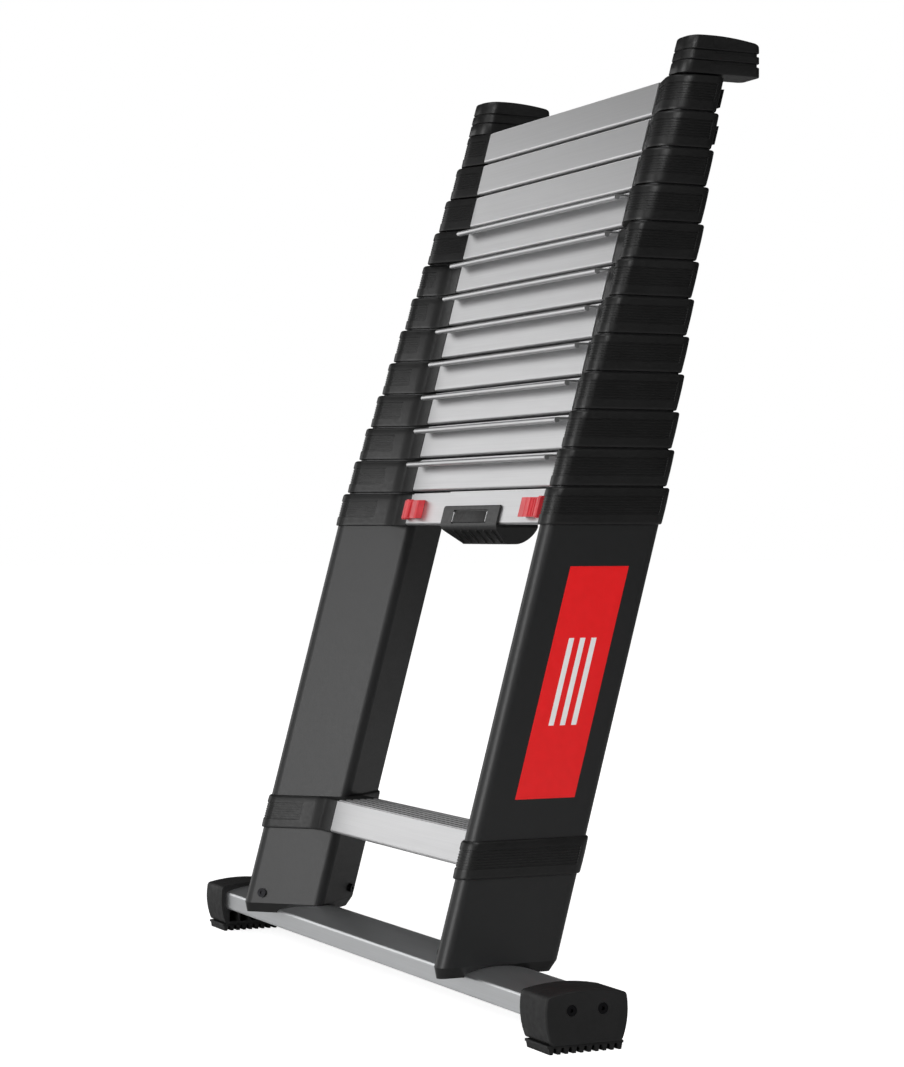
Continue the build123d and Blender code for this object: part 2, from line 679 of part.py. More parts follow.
def socket_screws():
    """Eight socket screws: four through the tubes into the plugs, four through the feet."""
    seat = FOOT_OUT - SCREW_HEAD_H - FIT_GAP
    foot_planes = [Plane((seat, y, z), z_dir=(1, 0, 0)) for y, z in screw_ports()]
    with BuildPart() as screws:
        for plane in foot_planes + plug_screw_planes():
            with BuildSketch(plane):
                Circle(SCREW_HEAD_R)
            extrude(amount=SCREW_HEAD_H)
            with BuildSketch(plane):
                Circle(SCREW_R)
            extrude(amount=-SCREW_LENGTH)
            with BuildSketch(plane.offset(SCREW_HEAD_H)):
                RegularPolygon(SCREW_SOCKET_R, 6)
            extrude(amount=-SCREW_HEAD_H + 1, mode=Mode.SUBTRACT)
        mirror(about=Plane.YZ)
    save(screws.part, "socket_screws")


def cap_rear_y():
    """Where the caps' upright rear faces stand."""
    return axis_y((CAP_BOTTOM_Z + CAP_TOP_Z) / 2) + CAP_BEHIND


def cap_rear_face(inset=0.0):
    """Outline (x, y) of a cap's upright rear half, drawn in all round by `inset`."""
    corner_x, _, corner_r = stile_discs(SLIDING_SECTIONS, COLLAR_WALL)[1]
    rear_y = cap_rear_y() - CAP_REAR_R
    front_y = axis_y((CAP_BOTTOM_Z + CAP_TOP_Z) / 2)
    inner_x = corner_x + corner_r - CAP_REAR_IN + CAP_REAR_R
    outer_x = corner_x + corner_r - CAP_REAR_R
    corners = [(inner_x, front_y), (outer_x, front_y), (outer_x, rear_y), (inner_x, rear_y)]
    return belt([(x, y, CAP_REAR_R - inset) for x, y in corners])


def wall_caps():
    """Caps on the top section: grooved slabs with a crowned top and an upright rear face."""
    with BuildPart() as caps:
        bottom = CAP_BOTTOM_Z
        for height in CAP_LAYERS:
            top = bottom + height
            grooved = top < CAP_TOP_Z
            rise = height - CAP_GROOVE if grooved else height + CAP_CROWN
            with BuildSketch(level(bottom)):
                add(belt(stile_discs(SLIDING_SECTIONS, COLLAR_WALL)))
            lean_extrude(rise)
            with BuildSketch(Plane.XY.offset(bottom)):
                add(cap_rear_face())
            extrude(amount=rise)
            if grooved:
                with BuildSketch(level(top - CAP_GROOVE)):
                    add(belt(stile_discs(SLIDING_SECTIONS, COLLAR_WALL - CAP_GROOVE_DEPTH)))
                lean_extrude(CAP_GROOVE)
                with BuildSketch(Plane.XY.offset(top - CAP_GROOVE)):
                    add(cap_rear_face(CAP_GROOVE_DEPTH))
                extrude(amount=CAP_GROOVE)
            bottom = top
        with BuildSketch(Plane.YZ.offset(RUNG_END)):
            front_y = axis_y(CAP_TOP_Z) - STILE_DEPTH / 2
            rear_y = cap_rear_y()
            with BuildLine():
                ThreePointArc(
                    (front_y, CAP_TOP_Z - CAP_FRONT_DROP),
                    ((front_y + rear_y) / 2, CAP_TOP_Z + CAP_CROWN),
                    (rear_y, CAP_TOP_Z - CAP_FRONT_DROP),
                )
                Polyline(
                    (rear_y, CAP_TOP_Z - CAP_FRONT_DROP),
                    (rear_y, CAP_TOP_Z + 2 * CAP_CROWN),
                    (front_y, CAP_TOP_Z + 2 * CAP_CROWN),
                    (front_y, CAP_TOP_Z - CAP_FRONT_DROP),
                )
            make_face()
        extrude(amount=STILE_OUT - RUNG_END, mode=Mode.SUBTRACT)
        mirror(about=Plane.YZ)
    save(caps.part, "wall_caps")


for section_number in range(1, BASE + 1):
    stile_tubes(section_number)
    collars(section_number)
    rung(section_number)
    if section_number < BASE:
        release_catches(section_number)
collars(LOWER)
rung(LOWER)
wall_caps()
for button_side, side_name in ((-1, "left"), (1, "right")):
    unlocking_button(button_side, side_name)
    lock_pin(button_side, side_name)
carry_grip()
stile_foot_plugs()
stabiliser_bar()
stabiliser_feet()
socket_screws()
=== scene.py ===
"""Telescoping ladder, collapsed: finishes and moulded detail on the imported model, in a plain studio."""

import json
from math import acos, asin, atan2, ceil, cos, hypot, pi, radians, remainder, sin, tan

import bmesh
import bpy
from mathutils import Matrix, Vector


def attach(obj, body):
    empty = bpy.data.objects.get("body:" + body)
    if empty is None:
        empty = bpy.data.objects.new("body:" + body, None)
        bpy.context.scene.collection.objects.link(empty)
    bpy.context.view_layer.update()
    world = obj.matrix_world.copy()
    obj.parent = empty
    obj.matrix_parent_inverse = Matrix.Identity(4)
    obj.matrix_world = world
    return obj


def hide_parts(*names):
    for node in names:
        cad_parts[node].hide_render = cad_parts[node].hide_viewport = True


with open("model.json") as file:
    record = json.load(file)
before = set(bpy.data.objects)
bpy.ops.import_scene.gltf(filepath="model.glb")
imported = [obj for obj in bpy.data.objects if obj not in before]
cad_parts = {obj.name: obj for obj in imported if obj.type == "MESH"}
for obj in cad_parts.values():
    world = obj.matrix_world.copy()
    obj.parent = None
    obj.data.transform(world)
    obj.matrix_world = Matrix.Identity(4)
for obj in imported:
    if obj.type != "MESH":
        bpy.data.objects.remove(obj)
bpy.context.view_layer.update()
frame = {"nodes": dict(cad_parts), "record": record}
nodes = frame["nodes"]


# Materials

NOISE_LOW = 0.3  # noise seldom leaves the range between these two, so it is spread from them
NOISE_HIGH = 0.7


class Finish:
    """A procedural material under construction: a Principled shader and the textures that feed it."""

    def __init__(self, name, colour, roughness, metallic=0.0, **sockets):
        self.material = bpy.data.materials.new(name)
        self.material.use_nodes = True
        self.tree = self.material.node_tree
        self.shader = self.tree.nodes["Principled BSDF"]
        self.shader.inputs["Base Color"].default_value = (*colour, 1)
        self.shader.inputs["Roughness"].default_value = roughness
        self.shader.inputs["Metallic"].default_value = metallic
        for socket, value in sockets.items():
            self.shader.inputs[socket.replace("_", " ")].default_value = value
        self.place = self.tree.nodes.new("ShaderNodeTexCoord").outputs["Object"]
        self.reliefs = []

    def node(self, kind, **values):
        """A new node of the material, with these settings."""
        made = self.tree.nodes.new(kind)
        for name, value in values.items():
            setattr(made, name, value)
        return made

    def link(self, start, end):
        self.tree.links.new(start, end)

    def noise(self, scale, detail, stretch=(1, 1, 1)):
        """Noise over the object's own metres: `scale` features a metre, divided along `stretch`."""
        mapping = self.node("ShaderNodeMapping")
        mapping.inputs["Scale"].default_value = [scale / s for s in stretch]
        texture = self.node("ShaderNodeTexNoise")
        texture.inputs["Scale"].default_value = 1.0
        texture.inputs["Detail"].default_value = detail
        self.link(self.place, mapping.inputs["Vector"])
        self.link(mapping.outputs["Vector"], texture.inputs["Vector"])
        return texture.outputs["Fac"]

    def spread(self, source, low, high, start=NOISE_LOW, end=NOISE_HIGH):
        """A map of a source that runs from `start` to `end` on to the numbers from `low` to `high`."""
        ranged = self.node("ShaderNodeMapRange")
        for name, value in (("From Min", start), ("From Max", end), ("To Min", low), ("To Max", high)):
            ranged.inputs[name].default_value = value
        self.link(source, ranged.inputs["Value"])
        return ranged.outputs["Result"]

    def tint(self, source, dark, light):
        """Base colour that runs from `dark` to `light` over a noise."""
        ramp = self.node("ShaderNodeValToRGB")
        stops = zip(ramp.color_ramp.elements, (NOISE_LOW, NOISE_HIGH), (dark, light))
        for element, position, colour in stops:
            element.position = position
            element.color = (*colour, 1)
        self.link(source, ramp.inputs["Fac"])
        self.link(ramp.outputs["Color"], self.shader.inputs["Base Color"])

    def rough(self, source, low, high):
        """Roughness that runs from `low` to `high` over a noise."""
        self.link(self.spread(source, low, high), self.shader.inputs["Roughness"])

    def bump(self, source, distance, strength):
        """A relief `distance` metres deep, on top of the reliefs before it."""
        relief = self.node("ShaderNodeBump")
        relief.inputs["Distance"].default_value = distance
        relief.inputs["Strength"].default_value = strength
        self.link(source, relief.inputs["Height"])
        if self.reliefs:
            self.link(self.reliefs[-1], relief.inputs["Normal"])
        self.reliefs.append(relief.outputs["Normal"])
        self.link(relief.outputs["Normal"], self.shader.inputs["Normal"])


def powder_coat():
    """Satin black powder coat: orange peel, and a faint drift in gloss."""
    finish = Finish("powder_coat_black", (0.010, 0.010, 0.0105), 0.42, Specular_IOR_Level=0.42)
    drift = finish.noise(9.0, 3.0)
    finish.tint(drift, (0.0095, 0.0097, 0.010), (0.0108, 0.0110, 0.0113))
    finish.rough(finish.noise(400.0, 4.0), 0.40, 0.44)
    finish.bump(finish.noise(700.0, 2.0), 0.00006, 0.6)
    finish.bump(finish.noise(2600.0, 1.0), 0.00002, 0.5)
    return finish.material


def moulded_black(name, level, gloss):
    """Black moulded plastic with a fine spark-eroded grain."""
    finish = Finish(name, (level, level, level), gloss, Specular_IOR_Level=0.3)
    drift = finish.noise(26.0, 4.0)
    finish.tint(drift, (level * 0.85,) * 3, (level * 1.2,) * 3)
    finish.rough(finish.noise(300.0, 3.0), gloss - 0.05, gloss + 0.06)
    finish.bump(finish.noise(3200.0, 2.0), 0.00002, 0.6)
    return finish.material


def brushed_aluminium(name, tone, gloss):
    """Extruded, anodised aluminium: long fine draw lines along the ladder's width."""
    finish = Finish(name, tone, gloss, metallic=1.0)
    lines = finish.noise(1500.0, 3.0, stretch=(300.0, 1, 1))
    finish.tint(lines, tuple(c * 0.97 for c in tone), tuple(min(1.0, c * 1.03) for c in tone))
    finish.rough(finish.noise(900.0, 4.0, stretch=(60.0, 1, 1)), gloss - 0.03, gloss + 0.03)
    finish.bump(lines, 0.000006, 0.4)
    return finish.material


def red_plastic():
    """Red moulded plastic for the buttons, a little uneven in colour and gloss."""
    finish = Finish("button_red", (0.56, 0.03, 0.04), 0.36)
    finish.tint(finish.noise(90.0, 3.0), (0.50, 0.026, 0.035), (0.60, 0.036, 0.046))
    finish.rough(finish.noise(420.0, 3.0), 0.31, 0.42)
    finish.bump(finish.noise(2600.0, 2.0), 0.00003, 0.6)
    return finish.material


def rubber():
    """Matt black rubber with a coarse grain."""
    finish = Finish("foot_rubber", (0.008, 0.008, 0.008), 0.6, Specular_IOR_Level=0.3)
    finish.tint(finish.noise(40.0, 5.0), (0.006, 0.006, 0.006), (0.010, 0.010, 0.0103))
    finish.rough(finish.noise(160.0, 4.0), 0.52, 0.68)
    finish.bump(finish.noise(1800.0, 3.0), 0.00008, 0.7)
    return finish.material


def turned_steel(name, tone, gloss):
    """Steel with fine turning marks across its length."""
    finish = Finish(name, tone, gloss, metallic=1.0)
    finish.rough(finish.noise(900.0, 3.0, stretch=(1, 6.0, 6.0)), gloss - 0.07, gloss + 0.07)
    finish.tint(finish.noise(500.0, 3.0), tuple(c * 0.9 for c in tone), tuple(c * 1.08 for c in tone))
    return finish.material


slot_looks = {
    "tube_black": powder_coat(),
    "collar_black": moulded_black("collar_black", 0.0085, 0.38),
    "rung_aluminium": brushed_aluminium("rung_aluminium", (0.58, 0.58, 0.585), 0.42),
    "catch_black": moulded_black("catch_black", 0.006, 0.38),
    "button_red": red_plastic(),
    "pin_steel": turned_steel("pin_steel", (0.55, 0.55, 0.56), 0.3),
    "grip_black": moulded_black("grip_black", 0.0065, 0.38),
    "bar_aluminium": brushed_aluminium("bar_aluminium", (0.60, 0.61, 0.62), 0.38),
    "foot_rubber": rubber(),
    "screw_steel": turned_steel("screw_black_oxide", (0.012, 0.012, 0.013), 0.38),
}
for subpart in frame["record"]["subparts"]:
    mesh = nodes[subpart["node"]].data
    mesh.materials.clear()
    mesh.materials.append(slot_looks[subpart["material_slot"]])


# The ladder's layout, in millimetres: v runs from front to back, from the leaning stile's axis

MM = 0.001
LEAN = radians(15)
AXIS_FOOT = -112.626
BASE = 12
LOWER = 13
STILE_OUT = 227.0
STILE_DEPTH = 110.0
STILE_WIDTH = 60.0
CORNER_R = 9.0
FACE_STEP = 1.25
CORNER_STEP = 0.08
TUBE_WALL = 0.95
COLLAR_H = 30.9
COLLAR_PITCH = COLLAR_H + 1.25
COLLAR_WALL = 2.6
BASE_COLLAR_TOP = 437.2
RUNG_SPACING = 300.0
RUNG_FRONT = -17.8
RUNG_BACK = 24.0
NOSE_R = 2.6
CATCH_INSET = 15.0
CATCH_WIDTH = 12.0
CATCH_HEIGHT = 16.0
CATCH_TRAVEL = 3.0
CATCH_SUNK = 2.5
FIT_GAP = 0.3
RUNG_END = 143.5
RUNG_END_STEP = 2.19
TOP_ROUND = 2.2
FOOT_ROUND = 1.2
ROUND_ROWS = 4  # rows of points over the round at a collar's top or foot
EDGE = 0.25  # width of the sloping sides of panels and grooves
HANDS = ((-1, "left"), (1, "right"))
FINENESS = radians(7)  # turn from one point of an outline's round to the next, at most
SHARP_ANGLE = radians(32)  # edges sharper than this stay sharp

PANEL_TOP = 7.1  # top of a collar's grooved panel below its rim
PANEL_H = 15.4
PANEL_DEPTH = 0.45
GROOVES = 7
GROOVE_WIDTH = 1.05
GROOVE_DEPTH = 1.05
PANEL_SHARE = 0.72  # of the straight front face that the panel covers
BROAD_FROM = 8  # collars this many steps in, and further, have broader front corners
BROADER = 8.0
BROAD_BACK = 0.64
BROAD_PANEL_SHARE = 0.88
PANEL_BACK = 2.0  # how far the panel runs on round the back corner
BARREL = 0.35  # how far a collar's ends draw in
HOLLOW_MAX = 20.0  # radius of the hollow between a collar's slanting face and its nose
HOLLOW_MIN = 1.0
HOLLOW_SHARE = 0.9  # of that face which the hollow may take up
RECESS_WALL = 0.03  # run of the recess's side walls along the outline
RECESS_END = 0.05  # run of its end walls along the stile
SPOT_STEP = 0.1  # steps along the back in which the recess's two sides are looked for
SPOT_COUNT = 600


def axis_y(z):
    """How far back the stile's axis stands at height z."""
    return AXIS_FOOT + z * tan(LEAN)


def stile_discs(step, grow=0.0):
    """Corner discs (x, v, radius) of the right-hand tube, `step` tubes in from the outermost one."""
    corner_x = STILE_OUT - CORNER_R
    corner_v = STILE_DEPTH / 2 - CORNER_R
    apex_x = STILE_OUT - STILE_WIDTH + CORNER_R
    corner_angle = atan2(corner_x - apex_x, corner_v)
    inset = (FACE_STEP - CORNER_STEP) * step
    corner_x -= inset
    corner_v -= inset / tan(corner_angle / 2)
    apex_x += inset / cos(corner_angle)
    radius = CORNER_R - CORNER_STEP * step + grow
    return [(corner_x, -corner_v, radius), (corner_x, corner_v, radius), (apex_x, 0, radius)]


def hollow_disc(corner, apex, nose_v):
    """Disc outside a collar that hollows it between a slanting face and its nose, if there is room."""
    corner_x, corner_v, radius = corner
    run = hypot(corner_x - apex[0], corner_v - apex[1])
    normal_x = -abs(corner_v - apex[1]) / run
    normal_v = (corner_x - apex[0]) / run
    face = (abs(corner_v) + radius * normal_v - abs(nose_v)) / -normal_x
    hollow = min(HOLLOW_MAX, HOLLOW_SHARE * face / tan(acos(normal_v) / 2))
    if hollow < HOLLOW_MIN:
        return []
    away = abs(nose_v) + hollow
    x = corner_x + (radius + hollow - normal_v * (away - abs(corner_v))) / normal_x
    return [(x, away if nose_v > 0 else -away, -hollow)]


class CatchFace:
    """The plane on a collar's back that a catch stands on, and the recess for the catch in it."""

    def __init__(self, corner, after):
        (corner_x, corner_v, corner_r), (next_x, next_v, next_r) = corner, after
        run = hypot(corner_x - next_x, corner_v - next_v)
        slope = atan2(corner_v - next_v, corner_x - next_x) + asin((corner_r - next_r) / run)
        self.along = (cos(slope), sin(slope))
        self.out = (-sin(slope), cos(slope))
        touch_x = corner_x + corner_r * self.out[0]
        touch_v = corner_v + corner_r * self.out[1]
        self.x = corner_x + corner_r - CATCH_INSET - CATCH_WIDTH / 2 * cos(slope)
        self.v = touch_v - (touch_x - self.x) * tan(slope)

    def beside(self, point):
        """Whether a point of the outline lies within the recess's width."""
        run = (point[0] - self.x) * self.along[0] + (point[1] - self.v) * self.along[1]
        return abs(run) <= CATCH_WIDTH / 2 + FIT_GAP

    def sunk(self, x, v):
        """The point on the recess's floor under a point of the outline."""
        depth = max(0.0, CATCH_SUNK + (x - self.x) * self.out[0] + (v - self.v) * self.out[1])
        return x - self.out[0] * depth, v - self.out[1] * depth


class Outline:
    """A belt round discs, walked anticlockwise, with a place and an outward normal at any length."""

    def __init__(self, discs):
        normals = []
        for (x0, v0, r0), (x1, v1, r1) in zip(discs, discs[1:] + discs[:1]):
            normals.append(atan2(v1 - v0, x1 - x0) - acos((r0 - r1) / hypot(x1 - x0, v1 - v0)))
        self.points = []
        self.arcs = []
        for i, (x, v, r) in enumerate(discs):
            turn = remainder(normals[i] - normals[i - 1], 2 * pi)
            count = max(1, ceil(abs(turn) / FINENESS))
            first = len(self.points)
            for k in range(count + 1):
                angle = normals[i - 1] + turn * k / count
                self.points.append((x + r * cos(angle), v + r * sin(angle), cos(angle), sin(angle)))
            self.arcs.append((first, len(self.points) - 1))
        self.lengths = [0.0]
        for a, b in zip(self.points, self.points[1:] + self.points[:1]):
            self.lengths.append(self.lengths[-1] + hypot(b[0] - a[0], b[1] - a[1]))
        self.length = self.lengths[-1]

    def arc(self, disc):
        """Lengths at which the walk enters and leaves one disc."""
        first, last = self.arcs[disc]
        return self.lengths[first], self.lengths[last]

    def at(self, length):
        """Place and outward normal (x, v, normal x, normal v) at a length along the walk."""
        length %= self.length
        i = max(k for k, reached in enumerate(self.lengths[:-1]) if reached <= length + 1e-9)
        a, b = self.points[i], self.points[(i + 1) % len(self.points)]
        gap = self.lengths[i + 1] - self.lengths[i]
        t = (length - self.lengths[i]) / gap if gap > 1e-9 else 0.0
        x, v, nx, nv = (p + (q - p) * t for p, q in zip(a, b))
        size = hypot(nx, nv)
        return x, v, nx / size, nv / size


def place(x, v, z, side=1):
    """Point in the frame's metres of a point in the section at height z."""
    return (side * x * MM, (axis_y(z) + v) * MM, z * MM)


def mesh_of(name, bm):
    """Mesh of a finished bmesh, with its faces turned outwards."""
    mesh = bpy.data.meshes.new(name)
    bmesh.ops.recalc_face_normals(bm, faces=bm.faces)
    bm.to_mesh(mesh)
    bm.free()
    return mesh


def skin(bm, low, high, side=1):
    """Faces between two rings of vertices of equal count, turned over on the left-hand side."""
    for i in range(len(low)):
        j = (i + 1) % len(low)
        face = (low[i], low[j], high[j], high[i])
        bm.faces.new(face if side > 0 else face[::-1])


def finished(name, mesh, body, slot, material=None):
    """Object round a mesh: it rides a body, and is smooth but for its sharp edges."""
    mesh.shade_smooth()
    mesh.set_sharp_from_angle(angle=SHARP_ANGLE)
    mesh.materials.append(material or slot_looks[slot])
    made = bpy.data.objects.new(name, mesh)
    bpy.context.scene.collection.objects.link(made)
    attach(made, body)
    return made


def body_of(number):
    """Body that carries the collars of one section, numbered from the top."""
    return "base" if number >= BASE else f"section_{number:02d}"


def broadened(corner):
    """The front corner disc of an upper collar, made broader: its outer face stays where it was."""
    x, v, radius = corner
    return x - BROADER, v + BROAD_BACK * BROADER, radius + BROADER


def collar_rows(catch):
    """Heights of a collar's rows from its foot: (height, inset, depth in panel, in the catch's recess)."""
    panel_low = COLLAR_H - PANEL_TOP - PANEL_H
    panel_high = COLLAR_H - PANEL_TOP
    marks = {panel_low - EDGE: 0.0, panel_low: PANEL_DEPTH, panel_high: PANEL_DEPTH, panel_high + EDGE: 0.0}
    pitch = PANEL_H / GROOVES
    for k in range(GROOVES):
        middle = panel_low + (k + 0.5) * pitch
        half = GROOVE_WIDTH / 2
        marks.update({middle - half - EDGE / 2: PANEL_DEPTH, middle - half: GROOVE_DEPTH,
                      middle + half: GROOVE_DEPTH, middle + half + EDGE / 2: PANEL_DEPTH})
    rows = [(height, 0.0, depth) for height, depth in marks.items()]
    for k in range(ROUND_ROWS):
        angle = pi / 2 * k / (ROUND_ROWS - 1)
        rows.append((FOOT_ROUND * (1 - cos(angle)), FOOT_ROUND * (1 - sin(angle)), 0.0))
        rows.append((COLLAR_H - TOP_ROUND * (1 - cos(angle)), TOP_ROUND * (1 - sin(angle)), 0.0))
    low, high = catch
    for height in (low - RECESS_END, low, high, high + RECESS_END):
        within = [depth for mark, depth in sorted(marks.items()) if mark <= height]
        rows.append((height, 0.0, within[-1] if within else 0.0))
    rows.sort()
    done = []
    for height, inset, depth in rows:
        away = (height - COLLAR_H / 2) / (COLLAR_H / 2)
        done.append((height, inset + BARREL * away * away, depth, low <= height <= high))
    return done


def collar_mesh(number):
    """Both collars of a section: drawn-in ends, a grooved panel round the outside, and the recess."""
    step = max(BASE - number, 0)
    top = BASE_COLLAR_TOP + (BASE - number) * COLLAR_PITCH
    if number == LOWER:
        top = BASE_COLLAR_TOP - RUNG_SPACING * cos(LEAN)
    bottom = top - COLLAR_H
    front, back, apex = stile_discs(step, COLLAR_WALL)
    nose_x = RUNG_END + RUNG_END_STEP * step + NOSE_R
    front_hollow = hollow_disc(front, apex, RUNG_FRONT)
    panel_share = PANEL_SHARE
    if step >= BROAD_FROM:
        front = broadened(front)
        front_hollow = []
        panel_share = BROAD_PANEL_SHARE
    back_hollow = hollow_disc(back, apex, RUNG_BACK)
    outline = Outline(
        [(nose_x, RUNG_FRONT + NOSE_R, NOSE_R)] + front_hollow + [front, back] + back_hollow
        + [(nose_x, RUNG_BACK - NOSE_R, NOSE_R)]
    )
    corner = 1 + len(front_hollow)
    face_start = outline.arc(corner - 1)[1]
    corner_start = outline.arc(corner)[0]
    back_start = outline.arc(corner + 1)[0]
    panel = (corner_start - panel_share * (corner_start - face_start), back_start + PANEL_BACK)
    catch = CatchFace(back, (back_hollow or [(nose_x, RUNG_BACK - NOSE_R, NOSE_R)])[0])
    spots = [back_start + k * SPOT_STEP for k in range(SPOT_COUNT)]
    beside = [spot for spot in spots if catch.beside(outline.at(spot))]
    recess = (beside[0], beside[-1])
    way = CATCH_HEIGHT + CATCH_TRAVEL
    catch_low = (COLLAR_H - way) / 2 - CATCH_TRAVEL - FIT_GAP
    rows = collar_rows((catch_low, catch_low + way + 2 * FIT_GAP))
    stations = set(outline.lengths[:-1])
    for spot, away in ((panel[0], -1), (panel[1], 1)):
        stations.update((spot, spot + EDGE * away))
    if number < BASE:
        stations.update((recess[0] - RECESS_WALL, recess[0], recess[1], recess[1] + RECESS_WALL))
    stations = sorted(stations)
    inner = Outline(stile_discs(step, -TUBE_WALL))
    bm = bmesh.new()
    for side in (1, -1):
        rings = []
        for height, inset, depth, in_catch in rows:
            ring = []
            for spot in stations:
                x, v, nx, nv = outline.at(spot)
                draw = inset
                if panel[0] <= spot <= panel[1]:
                    draw += depth
                spot_x, spot_v = x - nx * draw, v - nv * draw
                if in_catch and recess[0] <= spot <= recess[1] and number < BASE:
                    spot_x, spot_v = catch.sunk(x, v)
                ring.append(bm.verts.new(place(spot_x, spot_v, bottom + height, side)))
            rings.append(ring)
        bores = []
        for height in (0.0, COLLAR_H):
            bores.append([bm.verts.new(place(x, v, bottom + height, side)) for x, v, _, _ in inner.points])
        loops = [(rings[k], rings[k + 1]) for k in range(len(rings) - 1)] + [(bores[1], bores[0])]
        for low, high in loops:
            skin(bm, low, high, side)
        for ring, bore in ((rings[0], bores[0]), (rings[-1], bores[1])):
            edges = [bm.edges.get((loop[i], loop[(i + 1) % len(loop)])) for loop in (ring, bore)
                     for i in range(len(loop))]
            bmesh.ops.triangle_fill(bm, use_beauty=True, use_dissolve=False, edges=edges)
    return mesh_of(f"collar_body_{number:02d}", bm)


for collar_number in range(1, LOWER + 1):
    collar = finished(f"collar_body_{collar_number:02d}", collar_mesh(collar_number), body_of(collar_number),
                      "collar_black")
    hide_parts(f"collars_{collar_number:02d}")


# Wall caps: leaning in front and upright behind, with grooves that widen to slots at the back

CAP_STEP = 11  # the caps stand on the innermost tubes
CAP_BOTTOM = BASE_COLLAR_TOP + CAP_STEP * COLLAR_PITCH + 1.0
CAP_GROOVES = (10.7, 19.7)  # lower edges of the grooves above the cap's bottom
CAP_GROOVE = 1.3
CAP_GROOVE_DEPTH = 1.9
CAP_LIP = 0.35  # depth at which a groove's rounded lip turns into its wall
CAP_LIP_RUN = 0.5
CAP_WALL_RUN = 0.05
CAP_SLOT = 2.0  # how much deeper down the grooves reach at the back
CAP_SLOT_FROM = 4.0  # where they start to widen, and over what run
CAP_SLOT_RUN = 2.0
CAP_TOP = 29.0
CAP_CROWN = 4.5
CAP_PEAK = 0.3  # where the crown is highest, as a share of the cap's depth
CAP_FRONT_FALL = 0.8
CAP_REAR_FALL = 5.0
CAP_ROUND = 3.0
CAP_FOOT_ROUND = 0.8
CAP_FOOT_MIDDLE = (0.3, 0.25)  # rise and inset half-way round the foot
CAP_ROUND_ROWS = 4
CAP_STATIONS = 90  # points round a cap, besides those of its outline
CAP_REAR_R = 6.0
CAP_INNER_R = 14.0
CAP_BEHIND = 52.0
CAP_WIDE = 33.0


